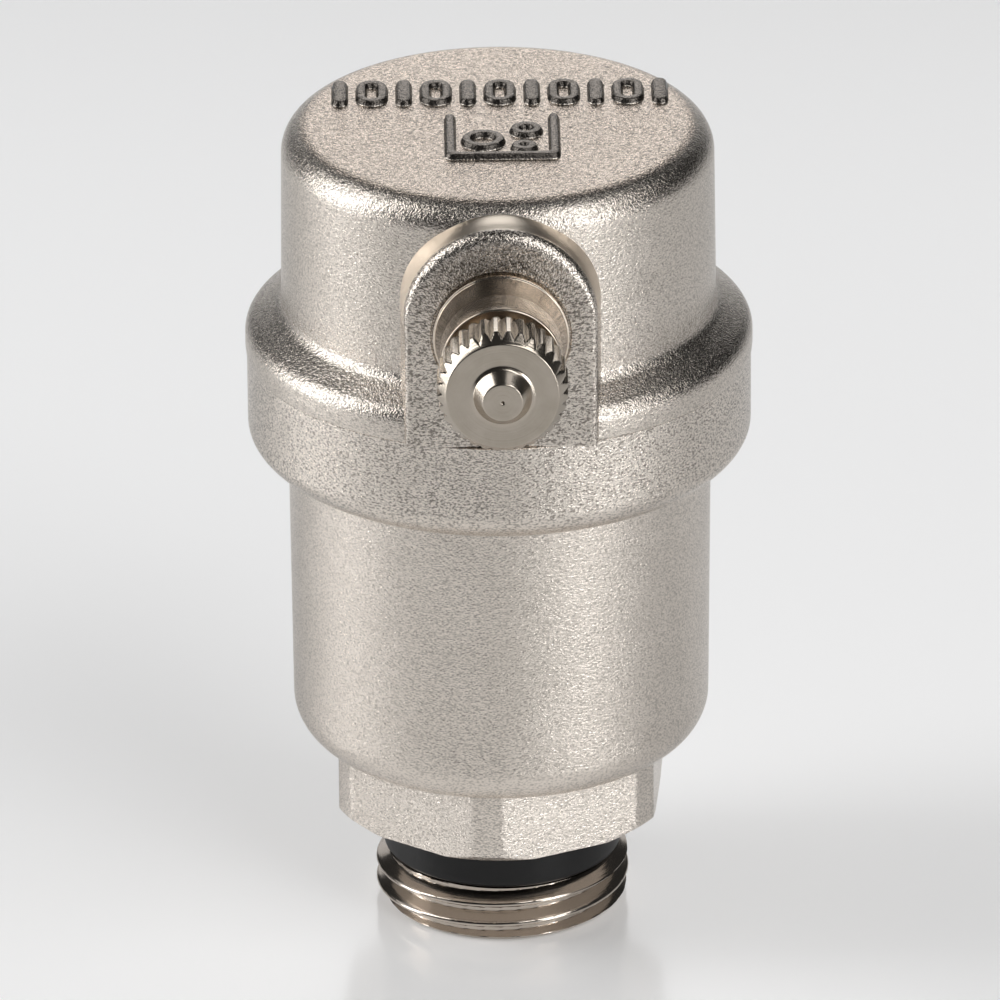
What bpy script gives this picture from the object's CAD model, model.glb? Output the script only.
import math

import bmesh
import bpy
import numpy as np
from mathutils import Matrix, Vector


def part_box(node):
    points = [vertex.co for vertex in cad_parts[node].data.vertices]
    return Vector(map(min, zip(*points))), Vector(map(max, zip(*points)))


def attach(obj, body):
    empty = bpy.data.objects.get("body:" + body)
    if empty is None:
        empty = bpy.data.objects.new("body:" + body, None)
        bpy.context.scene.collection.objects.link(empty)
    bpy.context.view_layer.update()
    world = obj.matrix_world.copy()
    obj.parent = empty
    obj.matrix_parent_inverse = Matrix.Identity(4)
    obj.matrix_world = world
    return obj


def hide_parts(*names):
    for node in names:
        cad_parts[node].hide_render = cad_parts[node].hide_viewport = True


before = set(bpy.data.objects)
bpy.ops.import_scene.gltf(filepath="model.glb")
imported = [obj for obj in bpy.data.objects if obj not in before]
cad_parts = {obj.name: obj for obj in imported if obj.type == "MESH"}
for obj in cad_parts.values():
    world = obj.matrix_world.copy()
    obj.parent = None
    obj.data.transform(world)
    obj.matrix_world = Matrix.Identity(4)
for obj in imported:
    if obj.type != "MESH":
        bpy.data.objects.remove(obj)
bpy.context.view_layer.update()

MM = 0.001
TAU = 2.0 * math.pi

# Corners of the CAD nodes that are made again here, in millimetres
BODY_HIGH = np.array(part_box("body")[1]) / MM
COVER_LOW, COVER_HIGH = (np.array(corner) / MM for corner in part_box("cover"))
SEAL_LOW, SEAL_HIGH = (np.array(corner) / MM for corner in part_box("thread_seal"))
NOZZLE_LOW, NOZZLE_HIGH = (np.array(corner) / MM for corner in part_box("vent_nozzle"))
CAP_LOW, CAP_HIGH = (np.array(corner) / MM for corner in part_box("vent_cap"))

# Body: pairs are (radius, height)
BODY_FLANGE_R = BODY_HIGH[0]
BODY_TOP = BODY_HIGH[2]
BODY_TOP_EDGE = 0.06
BODY_FLANGE_LOW = 43.5
BODY_FLANGE_SWEEP = 60.0
BODY_CREASE = (17.28, 40.6)
BODY_WALL_LOW = (17.12, 18.87)
BODY_BOTTOM_ROUND = 3.33
INLET_R = 6.5
INLET_EDGE = 0.3
INLET_END_EDGE = 0.5
FLOOR_Z = 17.4
FLOOR_ROUND = 2.0
CHAMBER_R = 14.9
RECESS_R = 17.4
RECESS_FLOOR = 43.2
RING_SEAT_R = 19.3
RING_SEAT_Z = 47.5

# Hexagon, neck and thread
HEX_BOTTOM = 9.25
HEX_HALF_FLATS = 13.0
HEX_TURNED_R = 14.35
HEX_CHAMFER = (0.95, 0.75)
HEX_TURN = math.radians(-95.1)
HEX_BRIGHT_BELOW = 13.0
NECK_R = 8.6
NECK_TOP_EDGE = 0.3
THREAD_TOP = 4.6
THREAD_MAJOR_R = 10.478
THREAD_MINOR_R = 9.32
THREAD_PITCH = 25.4 / 14
THREAD_FLANK = math.radians(27.5)
THREAD_FRONT_CREST = 1.82
THREAD_ROUND_DROP = 0.05
THREAD_ROUND_REACH = 0.07
THREAD_START_R = 9.45
THREAD_START_SLOPE = 1.25
THREAD_END_SLOPE = 1.6
THREAD_FACE_R = 9.2
THREAD_ROWS = 100

# Cover
COVER_BOTTOM = BODY_TOP + 0.03
COVER_FLANGE_R = COVER_HIGH[0]
MARK_RAISE = 0.4
COVER_TOP = COVER_HIGH[2] - MARK_RAISE
COVER_TOP_ROUND = 2.42
COVER_WALL_TOP_R = 17.54
COVER_WALL_LOW = (17.7, 54.5)
LEDGE_SLOPE = 30.0
LEDGE_FILLET = 1.2
LEDGE_ROUND = 1.6
LEDGE_LOW = 51.2
SKIRT_R = 17.0
SKIRT_LOW = COVER_LOW[2]
COVER_CHAMBER_R = 14.6
CEILING_Z = 66.8
CEILING_ROUND = 1.5
UNTRIMMED_FLANGE_LOW = 49.2
UNTRIMMED_SKIRT_TOP = 49.0
SEAM_CUT_R = 24.0
SEAM_CUT_LOW = 47.0
SEAM_GAP = 0.03
SEAM_TURN_IN = 0.05

# Raised marks on the cover's top: bubbles are (x, y, radius)
MARK_LINE = 0.7
MARK_SPREAD = 0.3
MARK_ROOT = 0.06
ROW_COUNT = 11
ROW_SPACING = 2.6
ROW_LENGTH = 4.4
ROW_X = 0.25
ROW_Y = 5.8
BAR_RADIUS = 0.55
RING_RADIUS = 1.2
TRAY_LOW = (-4.2, -7.4)
TRAY_HIGH = (4.9, 0.6)
TRAY_CORNER = 0.6
TRAY_INNER_CORNER = 0.35
BUBBLES = ((-1.2, -4.0, 1.7), (2.3, -2.0, 1.25), (2.1, -5.4, 1.0))

# Boss: distances along the nozzle are measured out from the vent's axis
BOSS_FACE = 20.2
BOSS_BACK = 14.9
BOSS_FOOT = COVER_BOTTOM - 0.4
BOSS_HALF_WIDTH = 7.7
BOSS_BACK_HALF_WIDTH = 8.1
BOSS_ARCH_Z = 60.7
BOSS_SIDE_ROUND = 0.45
BOSS_ARCH_ROUND = 1.0
BOSS_HOLE_R = 4.3
BOSS_HOLE_BACK = 11.0
SPOT_R = 5.58
SPOT_FACE = BOSS_FACE - 0.35
SPOT_CUT_FRONT = 24.0
NOZZLE_RING_SEAT = (5.3, 19.0)
FLAT_HALF_WIDTH = 6.3
FLAT_FRONT = 26.0
FLAT_LOW = 46.0
FLAT_HIGH = 53.6
FLAT_BEHIND_FACE = 0.08

# Nozzle
NOZZLE_Z = (NOZZLE_LOW[2] + NOZZLE_HIGH[2]) / 2
NOZZLE_TIP = -NOZZLE_LOW[1]
NOZZLE_TIP_R = 3.3
NOZZLE_TIP_EDGE = 0.3
STUB_CREST_R = 3.4
STUB_ROOT_R = 3.0
STUB_FRONT = 27.95
STUB_FIRST_CREST = 27.8
STUB_PITCH = 0.75
STUB_TURNS = 3
COLLAR_FRONT = 25.8
COLLAR_R = 4.87
CONE_FRONT = 23.0
CONE_BACK = 20.72
CONE_R = 5.3
RIM_FRONT = 20.7
RIM_R = NOZZLE_HIGH[0]
RIM_BACK = SPOT_FACE + 0.03
SHANK_R = 4.0
SHANK_BACK = 13.3
STEM_R = 3.0
STEM_BACK = 9.3
SEAT_R = 1.5
SEAT_BACK = 8.9
VENT_R = 0.9

# Vent cap
CAP_TIP = -CAP_LOW[1]
CAP_BACK = -CAP_HIGH[1]
CAP_R = 5.2
CAP_KNURL_FRONT = 30.67
CAP_FACE = 31.63
CAP_FACE_R = 4.46
CAP_SOCKET_R = 3.7
CAP_SOCKET_END = 30.9
NUB_BASE_R = 2.33
NUB_TIP_R = 1.57
DIMPLE_R = 0.16
DIMPLE_DEPTH = 0.18
KNURL_COUNT = 32
KNURL_DEPTH = 0.42
KNURL_HALF_ANGLE = math.radians(40.0)


# ---------------------------------------------------------------- mesh helpers

def new_object(name, data):
    item = bpy.data.objects.new(name, data)
    bpy.context.scene.collection.objects.link(item)
    return item


def edited(item, change):
    """Makes a change to the object's mesh while it is a bmesh."""
    shape = bmesh.new()
    shape.from_mesh(item.data)
    change(shape)
    shape.to_mesh(item.data)
    shape.free()
    return item


def fix_normals(item):
    return edited(item, lambda shape: bmesh.ops.recalc_face_normals(shape, faces=shape.faces))


def triangulated(item):
    return edited(item, lambda shape: bmesh.ops.triangulate(shape, faces=shape.faces))


def sheet_object(name, rows, capped):
    """A closed surface from rows of points, each row a loop; rows is (row, column, xyz) in mm.

    Without caps the last row joins the first, as round a bore. With caps each end row bounds a flat face.
    """
    count, columns, _ = rows.shape
    points = rows.reshape(-1, 3) * MM
    index = np.arange(count * columns).reshape(count, columns)
    upper = index[:-1] if capped else index
    lower = index[1:] if capped else np.roll(index, -1, axis=0)
    corners = [upper, lower, np.roll(lower, -1, axis=1), np.roll(upper, -1, axis=1)]
    faces = np.stack(corners, axis=-1).reshape(-1, 4).tolist()
    if capped:
        faces.append(index[0].tolist())
        faces.append(index[-1][::-1].tolist())
    mesh = bpy.data.meshes.new(name)
    mesh.from_pydata(points.tolist(), [], faces)
    mesh.validate()
    return fix_normals(new_object(name, mesh))


def smooth(item, angle):
    item.data.shade_smooth()
    item.data.set_sharp_from_angle(angle=math.radians(angle))
    return item


def boolean(item, tool, operation):
    modifier = item.modifiers.new("cut", "BOOLEAN")
    modifier.operation = operation
    modifier.solver = "EXACT"
    modifier.object = tool
    bpy.context.view_layer.update()
    evaluated = item.evaluated_get(bpy.context.evaluated_depsgraph_get())
    mesh = bpy.data.meshes.new_from_object(evaluated)
    item.modifiers.clear()
    item.data = mesh
    bpy.data.objects.remove(tool, do_unlink=True)


# ---------------------------------------------------------------- outlines

def arc(centre, radius, start, end, steps):
    """Points on a circle, or on an ellipse if the radius is a pair; angles in degrees."""
    turn = np.radians(np.linspace(start, end, steps + 1))
    across, up = np.broadcast_to(radius, 2)
    return np.stack([centre[0] + across * np.cos(turn), centre[1] + up * np.sin(turn)], axis=1)


def line(first, second, steps):
    share = np.linspace(0.0, 1.0, steps + 1)[:, None]
    return (1.0 - share) * np.array(first) + share * np.array(second)


def joined(*stretches):
    """One outline from several, without the points that repeat where they meet."""
    points = [np.array(stretches[0][0], dtype=float)]
    for stretch in stretches:
        for point in stretch:
            if np.hypot(*(point - points[-1])) > 1e-5:
                points.append(point)
    return np.array(points)


def rounded_steps(points, edge):
    """An outline through the points, each corner but the first and last cut by a small curve."""
    points = np.array(points, dtype=float)
    outline = [points[0]]
    for before, here, after in zip(points, points[1:], points[2:]):
        back = before - here
        ahead = after - here
        reach = min(edge, 0.45 * np.hypot(*back), 0.45 * np.hypot(*ahead))
        start = here + back / np.hypot(*back) * reach
        end = here + ahead / np.hypot(*ahead) * reach
        for share in (0.0, 0.33, 0.67, 1.0):
            outline.append((1 - share) ** 2 * start + 2 * share * (1 - share) * here + share**2 * end)
    outline.append(points[-1])
    return np.array(outline)


def refined(profile, longest):
    """The same outline with its long stretches divided."""
    points = [profile[0]]
    for point in profile[1:]:
        steps = max(1, int(np.hypot(*(point - points[-1])) / longest))
        points.extend(line(points[-1], point, steps)[1:])
    return np.array(points)


def offset_outline(outline, distance):
    """Moves an outline's points out along its normals."""
    along = np.roll(outline, -1, axis=0) - np.roll(outline, 1, axis=0)
    along /= np.hypot(along[:, 0], along[:, 1])[:, None]
    normal = np.stack([along[:, 1], -along[:, 0]], axis=1)
    return outline + normal * distance


def ring_at(turn, radius, height):
    """Points about Z; radius and height are one value or one for each angle."""
    across = radius * np.cos(turn)
    along = radius * np.sin(turn)
    return np.stack(np.broadcast_arrays(across, along, height), axis=-1)


def spin(profile, columns, start=0.0):
    """Rows of points for a profile of (radius, height) turned about Z."""
    turn = start + np.arange(columns) * TAU / columns
    return ring_at(turn, profile[:, 0:1], profile[:, 1:2])


def to_nozzle_axis(rows):
    """Turns a shape made about Z so that +Z points out along the nozzle."""
    return np.stack([rows[..., 0], -rows[..., 2], rows[..., 1] + NOZZLE_Z], axis=-1)


def smoothstep(low, high, value):
    share = np.clip((value - low) / (high - low), 0.0, 1.0)
    return share * share * (3.0 - 2.0 * share)


def shares(steps):
    """The steps' ends on the way from 0 to 1, without the 0."""
    return np.linspace(0.0, 1.0, steps + 1)[1:]


# ---------------------------------------------------------------- body

def hex_radius(turn):
    """Radius of the hexagon at an angle, its corners turned down."""
    from_corner = np.abs((turn - HEX_TURN + math.pi / 6) % (math.pi / 3) - math.pi / 6)
    flat = HEX_HALF_FLATS / np.cos(math.pi / 6 - from_corner)
    return np.minimum(flat, HEX_TURNED_R)


def thread_radius(turn, height):
    """Radius of the right-handed thread, its crests rounded and both ends chamfered."""
    from_crest = (height - THREAD_FRONT_CREST) / THREAD_PITCH - (turn + math.pi / 2) / TAU
    offset = np.abs(from_crest - np.round(from_crest)) * THREAD_PITCH
    half_depth = (THREAD_MAJOR_R - THREAD_MINOR_R) / 2
    crest_half = THREAD_PITCH / 4 - half_depth * math.tan(THREAD_FLANK)
    drop = np.maximum(0.0, offset - crest_half) / math.tan(THREAD_FLANK)
    round_off = THREAD_ROUND_DROP * np.exp(-((offset - crest_half) / THREAD_ROUND_REACH) ** 2)
    start = THREAD_START_R + THREAD_START_SLOPE * min(height, 1.0)
    end = THREAD_MINOR_R + THREAD_END_SLOPE * min(THREAD_TOP - height, 1.0)
    return np.clip(THREAD_MAJOR_R - drop - round_off, THREAD_MINOR_R, max(min(start, end), THREAD_MINOR_R))


def body_outline():
    """The body's outside from its seam down to the round bottom."""
    sweep = math.radians(BODY_FLANGE_SWEEP)
    radii = (
        (BODY_FLANGE_R - BODY_CREASE[0]) / (1.0 - math.cos(sweep)),
        (BODY_FLANGE_LOW - BODY_CREASE[1]) / math.sin(sweep),
    )
    return joined(
        line((RING_SEAT_R, BODY_TOP), (BODY_FLANGE_R - BODY_TOP_EDGE, BODY_TOP), 2),
        line((BODY_FLANGE_R, BODY_TOP - BODY_TOP_EDGE), (BODY_FLANGE_R, BODY_FLANGE_LOW), 8),
        arc((BODY_FLANGE_R - radii[0], BODY_FLANGE_LOW), radii, 0, -BODY_FLANGE_SWEEP, 18),
        line(BODY_CREASE, (BODY_WALL_LOW[0], BODY_WALL_LOW[1] + 0.001), 26),
    )


def hexagon_rows(turn):
    """The round bottom, the hexagon, its chamfer and its underside.

    The round bottom ends on the hexagon, so it ends at a different height in each column.
    """
    hex_r = hex_radius(turn)
    round_r = BODY_WALL_LOW[0] - BODY_BOTTOM_ROUND
    end_angle = np.arccos(np.clip((hex_r - round_r) / BODY_BOTTOM_ROUND, 0.0, 1.0))
    curved = BODY_BOTTOM_ROUND * end_angle
    length = curved + np.maximum(0.0, round_r - hex_r)
    rows = []
    for share in shares(26):
        angle = np.minimum(length * share / BODY_BOTTOM_ROUND, end_angle)
        level = np.maximum(0.0, length * share - curved)
        radius = round_r + BODY_BOTTOM_ROUND * np.cos(angle) - level
        rows.append(ring_at(turn, radius, BODY_WALL_LOW[1] - BODY_BOTTOM_ROUND * np.sin(angle)))
    crease_z = rows[-1][:, 2]
    chamfer_z = HEX_BOTTOM + HEX_CHAMFER[1]
    for share in shares(8):
        rows.append(ring_at(turn, hex_r, crease_z + (chamfer_z - crease_z) * share))
    for share in shares(5):
        cone = HEX_TURNED_R - HEX_CHAMFER[0] * share
        rows.append(ring_at(turn, np.minimum(hex_r, cone), chamfer_z - HEX_CHAMFER[1] * share))
    low_r = np.minimum(hex_r, HEX_TURNED_R - HEX_CHAMFER[0])
    for share in shares(3):
        rows.append(ring_at(turn, low_r + (NECK_R - low_r) * share, HEX_BOTTOM))
    return np.array(rows)


def chamber_outline():
    """The body's inside from the inlet up to the seam."""
    return joined(
        line((THREAD_FACE_R, 0.0), (INLET_R + INLET_EDGE, 0.0), 3),
        line((INLET_R, INLET_EDGE), (INLET_R, FLOOR_Z - INLET_END_EDGE), 6),
        line((INLET_R + INLET_END_EDGE, FLOOR_Z), (CHAMBER_R - FLOOR_ROUND, FLOOR_Z), 2),
        arc((CHAMBER_R - FLOOR_ROUND, FLOOR_Z + FLOOR_ROUND), FLOOR_ROUND, -90, 0, 6),
        line((CHAMBER_R, RECESS_FLOOR), (RECESS_R, RECESS_FLOOR), 1),
        line((RECESS_R, RING_SEAT_Z), (RING_SEAT_R, RING_SEAT_Z), 1),
    )


def make_body():
    columns = 360
    turn = HEX_TURN + np.arange(columns) * TAU / columns
    neck = line((NECK_R, HEX_BOTTOM - NECK_TOP_EDGE), (NECK_R, THREAD_TOP), 4)
    heights = np.linspace(THREAD_TOP, 0.0, THREAD_ROWS)
    rows = np.concatenate([
        spin(body_outline(), columns, HEX_TURN),
        hexagon_rows(turn),
        spin(neck, columns, HEX_TURN),
        np.array([ring_at(turn, thread_radius(turn, height), height) for height in heights]),
        spin(chamber_outline(), columns, HEX_TURN),
    ])
    return smooth(sheet_object("body_casing", rows, capped=False), 30.0)


# ---------------------------------------------------------------- cover

def cover_outline():
    """The cover's section from its flat top down the outside and back up the chamber."""
    top_r = COVER_WALL_TOP_R - COVER_TOP_ROUND
    top_z = COVER_TOP - COVER_TOP_ROUND
    ceiling_r = COVER_CHAMBER_R - CEILING_ROUND
    ceiling_z = CEILING_Z - CEILING_ROUND
    fillet = (COVER_WALL_LOW[0] + LEDGE_FILLET, COVER_WALL_LOW[1])
    return joined(
        line((top_r - 0.5, COVER_TOP), (top_r, COVER_TOP), 1),
        arc((top_r, top_z), COVER_TOP_ROUND, 90, 0, 16),
        line((COVER_WALL_TOP_R, top_z), COVER_WALL_LOW, 16),
        arc(fillet, LEDGE_FILLET, 180, 270 - LEDGE_SLOPE, 10),
        arc((COVER_FLANGE_R - LEDGE_ROUND, LEDGE_LOW), LEDGE_ROUND, 90 - LEDGE_SLOPE, 0, 12),
        line((COVER_FLANGE_R, LEDGE_LOW), (COVER_FLANGE_R, UNTRIMMED_FLANGE_LOW), 4),
        line((COVER_FLANGE_R, UNTRIMMED_FLANGE_LOW), (SKIRT_R, UNTRIMMED_SKIRT_TOP), 2),
        line((SKIRT_R, UNTRIMMED_SKIRT_TOP), (SKIRT_R, SKIRT_LOW), 2),
        line((SKIRT_R, SKIRT_LOW), (COVER_CHAMBER_R, SKIRT_LOW), 1),
        line((COVER_CHAMBER_R, SKIRT_LOW), (COVER_CHAMBER_R, ceiling_z), 2),
        arc((ceiling_r, ceiling_z), CEILING_ROUND, 0, 90, 4),
        line((ceiling_r, CEILING_Z), (ceiling_r - 0.5, CEILING_Z), 1),
    )


def boss_block():
    """The arched boss with draft, its front edge rounded, more so round the arch than down the sides."""
    half = BOSS_HALF_WIDTH
    outline = joined(
        line((half, BOSS_FOOT), (half, BOSS_ARCH_Z), 16),
        arc((0.0, BOSS_ARCH_Z), half, 0, 180, 80),
        line((-half, BOSS_ARCH_Z), (-half, BOSS_FOOT), 16),
    )
    above = np.maximum(0.0, outline[:, 1] - BOSS_ARCH_Z)
    extra_round = (BOSS_ARCH_ROUND - BOSS_SIDE_ROUND) * smoothstep(0.0, 0.7, above / half)
    round_r = BOSS_SIDE_ROUND + extra_round
    draft = (BOSS_BACK_HALF_WIDTH - half) / (BOSS_FACE - BOSS_BACK)
    rings = []
    for angle in np.radians(np.linspace(0.0, 90.0, 9)):
        rings.append((-round_r * (1.0 - math.sin(angle)), BOSS_FACE - round_r * (1.0 - math.cos(angle))))
    edge_depth = rings[-1][1]
    for share in shares(7):
        depth = edge_depth + (BOSS_BACK - edge_depth) * share
        rings.append((draft * (BOSS_FACE - depth), depth))
    rows = []
    for grow, depth in rings:
        factor = (half + grow) / half
        z = np.where(above > 0.0, BOSS_ARCH_Z + above * factor, outline[:, 1])
        rows.append(np.stack([outline[:, 0] * factor, -depth, z], axis=-1))
    return triangulated(sheet_object("boss", np.array(rows), capped=True))


def raised_mark(name, outer, inner=None):
    """A low cast mark on the cover's top: its sides curve out of the top and over into its crown."""
    levels = []
    for share in np.linspace(0.0, 1.0, 9):
        height = COVER_TOP - MARK_ROOT + (MARK_RAISE + MARK_ROOT) * smoothstep(0.0, 1.0, share)
        levels.append((MARK_SPREAD * (0.7 - share), height))
    rows = [(offset_outline(outer, grow), height) for grow, height in levels]
    if inner is not None:
        rows += [(offset_outline(inner, -grow), height) for grow, height in reversed(levels)]
    points = np.array([np.column_stack([ring, np.full(len(ring), height)]) for ring, height in rows])
    return triangulated(sheet_object(name, points, capped=inner is None))


def capsule_outline(x, low, high, radius):
    return joined(arc((x, high), radius, 0, 180, 12), arc((x, low), radius, 180, 360, 12))


def round_outline(x, y, radius):
    return arc((x, y), radius, 0, 360, 40)[:-1]


def tray_outline():
    """Three sides of a frame, open at the back, with round corners and ends."""
    end = MARK_LINE / 2
    inner = TRAY_INNER_CORNER
    inset = MARK_LINE + inner
    return joined(
        arc((TRAY_HIGH[0] - end, TRAY_HIGH[1]), end, 0, 180, 8),
        arc((TRAY_HIGH[0] - inset, TRAY_LOW[1] + inset), inner, 0, -90, 3),
        arc((TRAY_LOW[0] + inset, TRAY_LOW[1] + inset), inner, 270, 180, 3),
        arc((TRAY_LOW[0] + end, TRAY_HIGH[1]), end, 0, 180, 8),
        arc((TRAY_LOW[0] + TRAY_CORNER, TRAY_LOW[1] + TRAY_CORNER), TRAY_CORNER, 180, 270, 6),
        arc((TRAY_HIGH[0] - TRAY_CORNER, TRAY_LOW[1] + TRAY_CORNER), TRAY_CORNER, 270, 360, 6),
    )


def top_marks():
    """Plain raised marks: a row of bars and long rings in turn, and bubbles in a tray."""
    marks = []
    for number in range(ROW_COUNT):
        x = ROW_X + (number - (ROW_COUNT - 1) / 2) * ROW_SPACING
        radii = (RING_RADIUS, RING_RADIUS - MARK_LINE) if number % 2 else (BAR_RADIUS,)
        reach = ROW_LENGTH / 2 - radii[0]
        outlines = [capsule_outline(x, ROW_Y - reach, ROW_Y + reach, radius) for radius in radii]
        marks.append(raised_mark(f"row_{number}", *outlines))
    for number, (x, y, radius) in enumerate(BUBBLES):
        outlines = (round_outline(x, y, radius), round_outline(x, y, radius - MARK_LINE))
        marks.append(raised_mark(f"bubble_{number}", *outlines))
    marks.append(raised_mark("tray", tray_outline()))
    return marks


def seam_cutter():
    """Trims the flange and the boss's foot level at the seam; turned a little, off the cover's edges."""
    inner = SKIRT_R + SEAM_GAP
    ring = joined(
        line((SEAM_CUT_R, COVER_BOTTOM), (SEAM_CUT_R, SEAM_CUT_LOW), 1),
        line((inner, SEAM_CUT_LOW), (inner, COVER_BOTTOM), 1),
    )
    return sheet_object("seam_cutter", spin(ring, 300, 0.004), capped=False)


def flange_flat_cutter():
    """Takes the flange back behind the boss's face."""
    sides = (-FLAT_HALF_WIDTH, FLAT_HALF_WIDTH)
    depths = (-FLAT_FRONT, FLAT_BEHIND_FACE - BOSS_FACE)
    corners = [(x, y, z) for z in (FLAT_LOW, FLAT_HIGH) for y in depths for x in sides]
    faces = [(0, 2, 3, 1), (4, 5, 7, 6), (0, 1, 5, 4), (2, 6, 7, 3), (0, 4, 6, 2), (1, 3, 7, 5)]
    mesh = bpy.data.meshes.new("flange_flat")
    mesh.from_pydata([[value * MM for value in corner] for corner in corners], [], faces)
    return fix_normals(new_object("flange_flat", mesh))


def nozzle_hole_cutter():
    """The boss's hole, the nozzle ring's seat and the shallow spot face, its edge broken, round the rim."""
    seat_r, seat_back = NOZZLE_RING_SEAT
    section = joined(
        line((SPOT_R - 1.0, SPOT_CUT_FRONT), (SPOT_R + 0.1, SPOT_CUT_FRONT), 1),
        line((SPOT_R + 0.1, BOSS_FACE + 0.02), (SPOT_R, BOSS_FACE - 0.06), 1),
        line((SPOT_R, SPOT_FACE), (seat_r, SPOT_FACE), 1),
        line((seat_r, seat_back), (BOSS_HOLE_R, seat_back), 1),
        line((BOSS_HOLE_R, BOSS_HOLE_BACK), (BOSS_HOLE_R - 1.0, BOSS_HOLE_BACK), 1),
    )
    return sheet_object("nozzle_hole", to_nozzle_axis(spin(section, 144, 0.003)), capped=True)


def soften_seam(cover):
    """Turns the flange's lower edge in a little, so that the seam reads as a fine groove."""
    for vertex in cover.data.vertices:
        x, y, z = vertex.co / MM
        radius = math.hypot(x, y)
        if z < COVER_BOTTOM + 0.01 and radius > BODY_FLANGE_R - 0.25:
            vertex.co.x *= 1.0 - SEAM_TURN_IN / radius
            vertex.co.y *= 1.0 - SEAM_TURN_IN / radius


def make_cover():
    cover = sheet_object("cover_casing", spin(cover_outline(), 360), capped=True)
    boolean(cover, flange_flat_cutter(), "DIFFERENCE")
    for solid in (boss_block(), *top_marks()):
        boolean(cover, solid, "UNION")
    for tool in (seam_cutter(), nozzle_hole_cutter()):
        boolean(cover, tool, "DIFFERENCE")
    soften_seam(cover)
    return smooth(cover, 32.0)


# ---------------------------------------------------------------- seal, nozzle, cap

def make_thread_seal():
    low = SEAL_LOW[2]
    high = SEAL_HIGH[2]
    outer = SEAL_HIGH[0]
    inner = NECK_R + 0.3
    edge = 0.35
    profile = joined(
        line((inner, high), (outer - edge, high), 2),
        arc((outer - edge, high - edge), edge, 90, 0, 6),
        line((outer, high - edge), (outer, low + edge), 8),
        arc((outer - edge, low + edge), edge, 0, -90, 6),
        line((outer - edge, low), (inner, low), 2),
    )
    return smooth(sheet_object("seal_ring", spin(profile, 180), capped=False), 50.0)


def stub_thread():
    """Fine grooves where the cap's thread shows between the cap and the collar."""
    points = []
    for turn in range(STUB_TURNS):
        crest = STUB_FIRST_CREST - turn * STUB_PITCH
        points += [(STUB_CREST_R, crest), (STUB_ROOT_R, crest - STUB_PITCH / 2)]
    return points


def make_nozzle():
    corners = [
        (VENT_R, NOZZLE_TIP),
        (NOZZLE_TIP_R - NOZZLE_TIP_EDGE, NOZZLE_TIP),
        (NOZZLE_TIP_R, NOZZLE_TIP - NOZZLE_TIP_EDGE),
        (NOZZLE_TIP_R, STUB_FRONT),
        *stub_thread(),
        (STUB_ROOT_R, COLLAR_FRONT),
        (COLLAR_R - 0.08, COLLAR_FRONT),
        (COLLAR_R, COLLAR_FRONT - 0.1),
        (COLLAR_R, CONE_FRONT),
        (CONE_R, CONE_BACK),
        (RIM_R, RIM_FRONT),
        (RIM_R, RIM_BACK),
        (SHANK_R, RIM_BACK),
        (SHANK_R, SHANK_BACK),
        (STEM_R, SHANK_BACK),
        (STEM_R, STEM_BACK),
        (SEAT_R, STEM_BACK),
        (SEAT_R - 0.2, SEAT_BACK),
        (VENT_R, SEAT_BACK),
    ]
    rows = to_nozzle_axis(spin(rounded_steps(corners, 0.12), 180))
    return smooth(sheet_object("nozzle_turned", rows, capped=False), 35.0)


def knurl_cut(turn):
    """Depth of the straight V grooves of the knurl, with narrow flat tops left between them."""
    phase = turn * KNURL_COUNT / TAU
    from_groove = np.abs(phase - np.round(phase)) * TAU * CAP_R / KNURL_COUNT
    return np.maximum(0.0, KNURL_DEPTH - from_groove / math.tan(KNURL_HALF_ANGLE))


def make_cap():
    corners = [
        (0.02, CAP_TIP - DIMPLE_DEPTH),
        (DIMPLE_R, CAP_TIP),
        (NUB_TIP_R, CAP_TIP),
        (NUB_BASE_R, CAP_FACE + 0.12),
        (NUB_BASE_R + 0.27, CAP_FACE - 0.02),
        (CAP_FACE_R, CAP_FACE),
        (CAP_R, CAP_KNURL_FRONT),
        (CAP_R, CAP_BACK + 0.25),
        (CAP_R - 0.3, CAP_BACK),
        (CAP_SOCKET_R, CAP_BACK),
        (CAP_SOCKET_R, CAP_SOCKET_END),
        (CAP_SOCKET_R - 0.7, CAP_SOCKET_END),
    ]
    profile = refined(rounded_steps(corners, 0.08), 0.25)
    columns = KNURL_COUNT * 14
    limit = CAP_R - knurl_cut(np.arange(columns) * TAU / columns)
    rows = spin(profile, columns)
    knurled = (profile[:, 1] > CAP_BACK - 0.01) & (profile[:, 0] > CAP_FACE_R + 0.02)
    radius = profile[knurled, 0:1]
    rows[knurled, :, :2] *= (np.minimum(radius, limit) / radius)[..., None]
    return smooth(sheet_object("cap_knurled", to_nozzle_axis(rows), capped=True), 28.0)


# ---------------------------------------------------------------- materials

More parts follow.
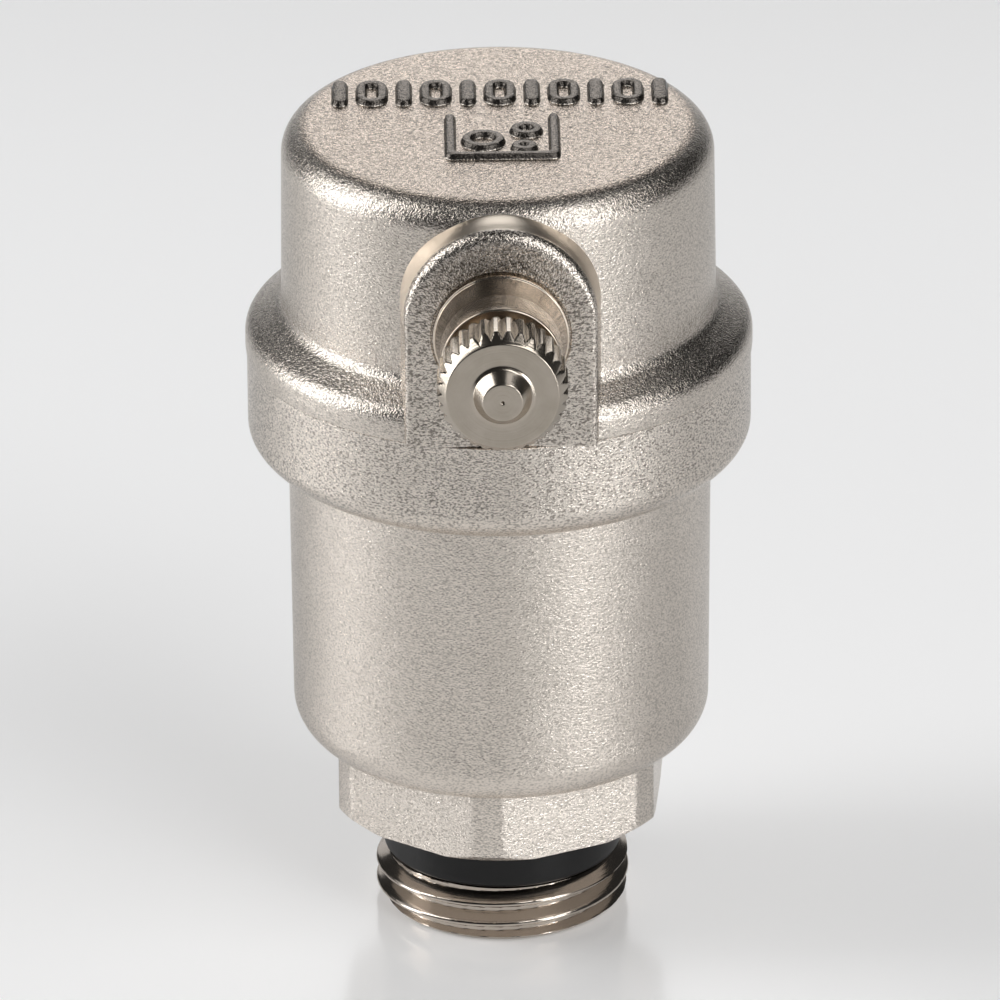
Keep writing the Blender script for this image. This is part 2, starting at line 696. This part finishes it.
class Nodes:
    """Short calls for building one material's nodes."""

    def __init__(self, name):
        self.material = bpy.data.materials.new(name)
        self.material.use_nodes = True
        self.tree = self.material.node_tree
        self.shader = self.tree.nodes["Principled BSDF"]
        self.place = self.new("TexCoord").outputs["Object"]

    def new(self, kind, **values):
        """A shader node with the given numbers on its inputs."""
        node = self.tree.nodes.new("ShaderNode" + kind)
        for name, value in values.items():
            node.inputs[name.replace("_", " ")].default_value = value
        return node

    def link(self, source, target):
        self.tree.links.new(source, target)

    def feed(self, socket, value):
        """Puts a number, a colour or another node's output on a socket."""
        if isinstance(value, tuple):
            socket.default_value = (*value, 1.0)
        elif isinstance(value, (int, float)):
            socket.default_value = value
        else:
            self.link(value, socket)

    def set(self, **values):
        for name, value in values.items():
            self.feed(self.shader.inputs[name.replace("_", " ")], value)

    def noise(self, scale, detail=2.0, rough=0.5, stretch=None):
        node = self.new("TexNoise", Scale=scale, Detail=detail, Roughness=rough)
        place = self.place
        if stretch is not None:
            mapping = self.new("Mapping", Scale=stretch)
            self.link(place, mapping.inputs["Vector"])
            place = mapping.outputs["Vector"]
        self.link(place, node.inputs["Vector"])
        return node.outputs["Fac"]

    def cells(self, scale):
        """Distance from the middle of the nearest of many scattered cells."""
        node = self.new("TexVoronoi", Scale=scale)
        self.link(self.place, node.inputs["Vector"])
        return node.outputs["Distance"]

    def part(self, vector, letter):
        node = self.new("SeparateXYZ")
        self.link(vector, node.inputs[0])
        return node.outputs[letter]

    def facing(self, letter):
        """How far the surface faces along one axis."""
        return self.part(self.new("NewGeometry").outputs["Normal"], letter)

    def zone(self, letter, start, end, low, high):
        """Goes from low to high between two places along an axis, given in millimetres."""
        return self.range(self.part(self.place, letter), start * MM, end * MM, low, high)

    def rings(self, axis, height):
        """Turning marks round an axis at a height in mm: fine along and across it, the same all round."""
        shift = self.new("VectorMath")
        shift.operation = "SUBTRACT"
        self.link(self.place, shift.inputs[0])
        shift.inputs[1].default_value = (0.0, 0.0, height * MM)
        flat = self.new("VectorMath")
        flat.operation = "MULTIPLY"
        self.link(shift.outputs[0], flat.inputs[0])
        flat.inputs[1].default_value = (1.0, 1.0, 0.0) if axis == "Z" else (1.0, 0.0, 1.0)
        length = self.new("VectorMath")
        length.operation = "LENGTH"
        self.link(flat.outputs[0], length.inputs[0])
        pair = self.new("CombineXYZ")
        self.link(length.outputs["Value"], pair.inputs["X"])
        self.link(self.part(self.place, axis), pair.inputs["Y"])
        noise = self.new("TexNoise", Scale=6000.0, Detail=2.0)
        self.link(pair.outputs[0], noise.inputs["Vector"])
        return noise.outputs["Fac"]

    def range(self, value, low, high, to_low, to_high):
        node = self.new("MapRange", From_Min=low, From_Max=high, To_Min=to_low, To_Max=to_high)
        self.link(value, node.inputs["Value"])
        return node.outputs["Result"]

    def math(self, operation, first, second):
        node = self.new("Math")
        node.operation = operation
        self.feed(node.inputs[0], first)
        self.feed(node.inputs[1], second)
        return node.outputs["Value"]

    def product(self, first, second):
        return self.math("MULTIPLY", first, second)

    def mix(self, factor, first, second):
        """Between two colours, each a constant or another node's output."""
        node = self.new("Mix")
        node.data_type = "RGBA"
        self.link(factor, node.inputs["Factor"])
        self.feed(node.inputs[6], first)
        self.feed(node.inputs[7], second)
        return node.outputs[2]

    def bump(self, height, strength, distance, normal=None):
        node = self.new("Bump", Strength=strength, Distance=distance)
        self.link(height, node.inputs["Height"])
        if normal is not None:
            self.link(normal, node.inputs["Normal"])
        return node.outputs["Normal"]


TOP_TINT = (0.785, 0.675, 0.58)
HEXAGON_TINT = (0.88, 0.81, 0.735)
SPECK_TINT = (0.28, 0.25, 0.22)
MARK_TINT = (0.1, 0.09, 0.08)
PIT_TINT = (0.16, 0.13, 0.1)
CONE_STAIN_TINT = (0.1, 0.07, 0.045)
BLASTED_ROUGHNESS = 0.24


def blasted_nickel(name, tints, smooth_zone, smooth_tint, smooth_roughness, speck_zone):
    """Forged brass, shot-blasted and nickel-plated.

    smooth_zone says where the piece is smooth instead of blasted, and speck_zone how strong its dark
    specks are.
    """
    nodes = Nodes(name)
    smooth = smooth_zone(nodes)
    blasted = nodes.math("SUBTRACT", 1.0, smooth)
    waves = nodes.noise(260.0)
    dents = nodes.noise(2600.0, 1.0)
    grain = nodes.noise(6400.0, 1.5, 0.55)
    sparkle = nodes.noise(12000.0, 1.0)
    flecks = nodes.noise(5600.0, 1.0, stretch=(0.8, 0.8, 1.25))

    tint = nodes.mix(nodes.range(waves, 0.3, 0.7, 0.0, 1.0), *tints)
    warm = nodes.mix(top_zone(nodes), tint, TOP_TINT)
    forged = nodes.mix(hexagon_zone(nodes), warm, HEXAGON_TINT)
    specks = nodes.range(flecks, 0.35, 0.53, 0.5, 0.0)
    speckled = nodes.mix(nodes.product(specks, speck_zone(nodes)), forged, SPECK_TINT)
    plated = nodes.mix(smooth, speckled, smooth_tint)
    stained = nodes.mix(mark_stain(nodes), plated, MARK_TINT)
    pits = nodes.range(nodes.cells(260.0), 0.014, 0.034, 1.0, 0.0)
    colour = nodes.mix(nodes.product(pits, blasted), stained, PIT_TINT)
    roughness = nodes.range(blasted, 0.0, 1.0, smooth_roughness, BLASTED_ROUGHNESS)
    nodes.set(Base_Color=colour, Metallic=1.0, Roughness=roughness)

    relief = nodes.bump(waves, 0.35, 0.1 * MM)
    for height, distance in ((dents, 0.04), (grain, 0.06), (sparkle, 0.02)):
        relief = nodes.bump(nodes.product(height, blasted), 1.0, distance * MM, relief)
    rings = nodes.product(nodes.rings("Z", 0.0), smooth)
    nodes.set(Normal=nodes.bump(rings, 1.0, 0.01 * MM, relief))
    return nodes.material


def top_zone(nodes):
    """The cover's flat top, where the plating looks warmest."""
    level = nodes.range(nodes.facing("Z"), 0.8, 0.97, 0.0, 1.0)
    return nodes.product(level, nodes.zone("Z", COVER_TOP - 0.3, COVER_TOP - 0.1, 0.0, 1.0))


def hexagon_zone(nodes):
    """The hexagon, brighter than the pot above it."""
    return nodes.zone("Z", HEX_BRIGHT_BELOW, HEX_BRIGHT_BELOW + 3.0, 1.0, 0.0)


def body_specks(nodes):
    """Stronger specks on the body's flange than on its wall."""
    return nodes.zone("Z", BODY_CREASE[1] - 1.0, BODY_FLANGE_LOW + 1.0, 1.0, 1.8)


def cover_specks(nodes):
    """Stronger specks on the boss's face than on the rest of the cover."""
    return nodes.zone("Y", 0.3 - BOSS_FACE, 1.5 - BOSS_FACE, 2.4, 1.1)


def mark_stain(nodes):
    """How dark the cover's raised marks are: darkest on their steep sides, and nothing below them."""
    above = nodes.zone("Z", COVER_TOP + 0.01, COVER_TOP + 0.08, 0.0, 1.0)
    return nodes.product(above, nodes.range(nodes.facing("Z"), 0.98, 0.8, 0.75, 0.95))


def thread_zone(nodes):
    """The neck and thread under the hexagon."""
    return nodes.zone("Z", HEX_BOTTOM - 0.05, HEX_BOTTOM + 0.02, 1.0, 0.0)


def boss_crown(nodes):
    """The smooth upper side of the boss, between the cover's wall and the rounded front edge."""
    across = nodes.range(nodes.math("ABSOLUTE", nodes.facing("Y"), 0.0), 0.2, 0.35, 1.0, 0.0)
    edge = BOSS_FACE - BOSS_ARCH_ROUND
    before_wall = nodes.zone("Y", 0.5 - BOSS_BACK, 0.9 - BOSS_BACK, 1.0, 0.0)
    behind_edge = nodes.zone("Y", -0.1 - edge, 0.1 - edge, 0.0, 1.0)
    high = nodes.zone("Z", BOSS_ARCH_Z - 1.5, BOSS_ARCH_Z + 1.0, 0.0, 1.0)
    below_top = nodes.zone("Z", COVER_TOP - 0.35, COVER_TOP - 0.25, 1.0, 0.0)
    between = nodes.product(before_wall, behind_edge)
    return nodes.product(nodes.product(across, between), nodes.product(high, below_top))


def turned_nickel(name, dark, bright):
    """Lathe-turned and nickel-plated: fine rings round the nozzle's axis, its cone stained brown."""
    nodes = Nodes(name)
    haze = nodes.noise(400.0, 3.0, 0.6)
    plated = nodes.mix(nodes.range(haze, 0.35, 0.7, 0.0, 1.0), dark, bright)
    behind_collar = nodes.zone("Y", -0.04 - CONE_FRONT, 0.04 - CONE_FRONT, 0.0, 0.42)
    before_rim = nodes.zone("Y", -0.1 - RIM_FRONT, -0.04 - RIM_FRONT, 1.0, 0.0)
    colour = nodes.mix(nodes.product(behind_collar, before_rim), plated, CONE_STAIN_TINT)
    nodes.set(Base_Color=colour, Metallic=1.0, Roughness=nodes.range(haze, 0.3, 0.7, 0.16, 0.24))
    nodes.set(Normal=nodes.bump(nodes.rings("Y", NOZZLE_Z), 1.0, 0.01 * MM))
    return nodes.material


def black_rubber():
    nodes = Nodes("black_rubber")
    speckle = nodes.noise(1800.0, 3.0, 0.6)
    haze = nodes.noise(200.0)
    shades = ((0.004, 0.004, 0.0045), (0.007, 0.007, 0.0075))
    colour = nodes.mix(nodes.range(haze, 0.3, 0.7, 0.0, 1.0), *shades)
    nodes.set(Base_Color=colour, Roughness=nodes.range(haze, 0.3, 0.7, 0.32, 0.45))
    nodes.set(Specular_IOR_Level=0.35)
    nodes.set(Normal=nodes.bump(speckle, 0.4, 0.02 * MM))
    return nodes.material


def plain_metal(name, colour, roughness):
    nodes = Nodes(name)
    streaks = nodes.noise(900.0, 3.0, 0.6, stretch=(1.0, 4.0, 1.0))
    shade(nodes, streaks, colour, 0.85, roughness, 0.12)
    nodes.set(Metallic=1.0, Normal=nodes.bump(streaks, 0.2, 0.02 * MM))
    return nodes.material


def moulded_plastic(name, colour, roughness):
    nodes = Nodes(name)
    shade(nodes, nodes.noise(150.0), colour, 0.9, roughness, 0.1)
    nodes.set(Normal=nodes.bump(nodes.noise(2600.0, 2.0, 0.6), 0.2, 0.02 * MM))
    return nodes.material


def shade(nodes, pattern, colour, darker, roughness, rougher):
    """Colour from a darker shade up to its own, and roughness from its own upward, both over a pattern."""
    dark = tuple(darker * value for value in colour)
    nodes.set(Base_Color=nodes.mix(nodes.range(pattern, 0.3, 0.7, 0.0, 1.0), dark, colour))
    nodes.set(Roughness=nodes.range(pattern, 0.3, 0.7, roughness, roughness + rougher))


# ---------------------------------------------------------------- stage

# Soft boxes round the table: azimuth from the camera's side (+ to the right), elevation, half of the
# azimuth and half of the elevation that they span as seen from the vent, all in degrees, and brightness
SOFT_BOXES = (
    ("left_low", -90, 9, 11, 9, 1.85),
    ("left_middle", -90, 28, 11, 10, 1.12),
    ("left_high", -90, 48, 15, 10, 1.2),
    ("left_front", -67, 28, 11, 10, 0.16),
    ("left_back", -112, 28, 11, 10, 0.22),
    ("left_rear", -120, 48, 15, 10, 0.12),
    ("right_low", 45, 9, 11, 9, 1.9),
    ("right_key", 45, 28, 11, 10, 0.34),
    ("right_high", 45, 48, 30, 10, 1.0),
    ("back_box", 180, 28, 11, 10, 0.6),
    ("back_low", 180, 9, 25, 9, 0.2),
    ("side_high", 90, 68, 22, 10, 0.3),
)
BOX_DISTANCE = 1.2
BOX_RADIANT = 10.0
BOX_AIM = Vector((0.0, 0.0, 0.035))
WORLD_GLOW = 0.03
TABLE_GLOW = 0.15
TABLE_HALF = 4.0
LENS = 432.0
CAMERA_DISTANCE = 1.0
CAMERA_LIFT = math.radians(27.02)
CAMERA_YAW = math.radians(-0.5)
CAMERA_PITCH = math.radians(64.827)
CAMERA_ROLL = math.radians(-0.389)


def direction_from(turn, lift):
    """From the vent toward an azimuth, measured from the camera's side, and an elevation."""
    level = math.cos(lift)
    return Vector((math.sin(turn) * level, -math.cos(turn) * level, math.sin(lift)))


def make_floor():
    """A pale glossy light table."""
    nodes = Nodes("table_top")
    haze = nodes.noise(3.0, 1.0, 0.4)
    colour = nodes.mix(nodes.range(haze, 0.3, 0.7, 0.0, 1.0), (0.90, 0.90, 0.905), (0.92, 0.92, 0.92))
    nodes.set(Base_Color=colour, Roughness=0.16)
    nodes.set(Emission_Color=(1.0, 1.0, 1.0), Emission_Strength=TABLE_GLOW)
    mesh = bpy.data.meshes.new("table_top")
    corners = [(x * TABLE_HALF, y * TABLE_HALF, 0.0) for x, y in ((-1, -1), (1, -1), (1, 1), (-1, 1))]
    mesh.from_pydata(corners, [], [(0, 1, 2, 3)])
    mesh.materials.append(nodes.material)
    floor = new_object("table_top", mesh)


def soft_box(name, azimuth, elevation, half_azimuth, half_elevation, brightness):
    """A rectangular light that faces the vent and that the camera itself doesn't see."""
    lift = math.radians(elevation)
    direction = direction_from(math.radians(azimuth), lift)
    data = bpy.data.lights.new(name, "AREA")
    data.shape = "RECTANGLE"
    data.size = 2.0 * BOX_DISTANCE * math.tan(math.radians(half_azimuth)) * math.cos(lift)
    data.size_y = 2.0 * BOX_DISTANCE * math.tan(math.radians(half_elevation))
    data.energy = BOX_RADIANT * brightness * data.size * data.size_y
    lamp = new_object(name, data)
    lamp.location = BOX_AIM + direction * BOX_DISTANCE
    lamp.rotation_euler = direction.to_track_quat("Z", "Y").to_euler()
    lamp.visible_camera = False


def make_lights():
    world = bpy.data.worlds.new("room")
    world.use_nodes = True
    background = world.node_tree.nodes["Background"]
    background.inputs["Color"].default_value = (1.0, 1.0, 1.0, 1.0)
    background.inputs["Strength"].default_value = WORLD_GLOW
    bpy.context.scene.world = world
    for box in SOFT_BOXES:
        soft_box(*box)


def make_camera():
    """Looks down at the vent from the nozzle's side, a little rolled."""
    data = bpy.data.cameras.new("camera")
    data.sensor_width = 36.0
    data.lens = LENS
    data.clip_start = 0.05
    camera = new_object("camera", data)
    camera.location = direction_from(CAMERA_YAW, CAMERA_LIFT) * CAMERA_DISTANCE
    yaw = Matrix.Rotation(CAMERA_YAW, 3, "Z")
    pitch = Matrix.Rotation(CAMERA_PITCH, 3, "X")
    roll = Matrix.Rotation(CAMERA_ROLL, 3, "Z")
    camera.rotation_euler = (yaw @ pitch @ roll).to_euler()
    bpy.context.scene.camera = camera


def paint(mesh, material):
    mesh.materials.clear()
    mesh.materials.append(material)


def show(piece, material, body, node):
    """Gives a piece its material, ties it to its body and lets it stand for a CAD node."""
    paint(piece.data, material)
    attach(piece, body)
    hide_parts(node)


make_camera()
make_floor()
make_lights()
bpy.context.scene.view_settings.view_transform = "Standard"

BODY_NICKEL = blasted_nickel(
    "blasted_nickel_body",
    tints=((0.785, 0.72, 0.65), (0.83, 0.762, 0.69)),
    smooth_zone=thread_zone,
    smooth_tint=(0.56, 0.5, 0.44),
    smooth_roughness=0.15,
    speck_zone=body_specks,
)
COVER_NICKEL = blasted_nickel(
    "blasted_nickel_cover",
    tints=((0.725, 0.664, 0.596), (0.77, 0.706, 0.638)),
    smooth_zone=boss_crown,
    smooth_tint=(0.9, 0.8, 0.68),
    smooth_roughness=0.34,
    speck_zone=cover_specks,
)
NOZZLE_NICKEL = turned_nickel("turned_nickel_nozzle", (0.66, 0.575, 0.48), (0.74, 0.655, 0.56))
CAP_NICKEL = turned_nickel("turned_nickel_cap", (0.45, 0.4, 0.335), (0.535, 0.475, 0.41))
RUBBER = black_rubber()
STEEL = plain_metal("spring_steel", (0.6, 0.6, 0.61), 0.22)
BRASS = plain_metal("plain_brass", (0.78, 0.58, 0.3), 0.25)
LEVER_PLASTIC = moulded_plastic("lever_plastic", (0.75, 0.74, 0.7), 0.42)
FLOAT_PLASTIC = moulded_plastic("float_plastic", (0.68, 0.7, 0.68), 0.35)

show(make_body(), BODY_NICKEL, "housing", "body")
show(make_cover(), COVER_NICKEL, "housing", "cover")
show(make_thread_seal(), RUBBER, "housing", "thread_seal")
show(make_nozzle(), NOZZLE_NICKEL, "housing", "vent_nozzle")
show(make_cap(), CAP_NICKEL, "cap", "vent_cap")

# The CAD nodes that stay as they are
MATERIAL_OF = {
    "cover_o_ring": RUBBER,
    "nozzle_o_ring": RUBBER,
    "cap_seal": RUBBER,
    "valve_pad": RUBBER,
    "lever_bracket": STEEL,
    "bracket_washer": STEEL,
    "bracket_nut": BRASS,
    "lever": LEVER_PLASTIC,
    "lever_pin": STEEL,
    "pin_clip_left": STEEL,
    "pin_clip_right": STEEL,
    "valve_spring": STEEL,
    "float_link": STEEL,
    "float_shell": FLOAT_PLASTIC,
    "float_lid": FLOAT_PLASTIC,
}
for node, material in MATERIAL_OF.items():
    paint(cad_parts[node].data, material)
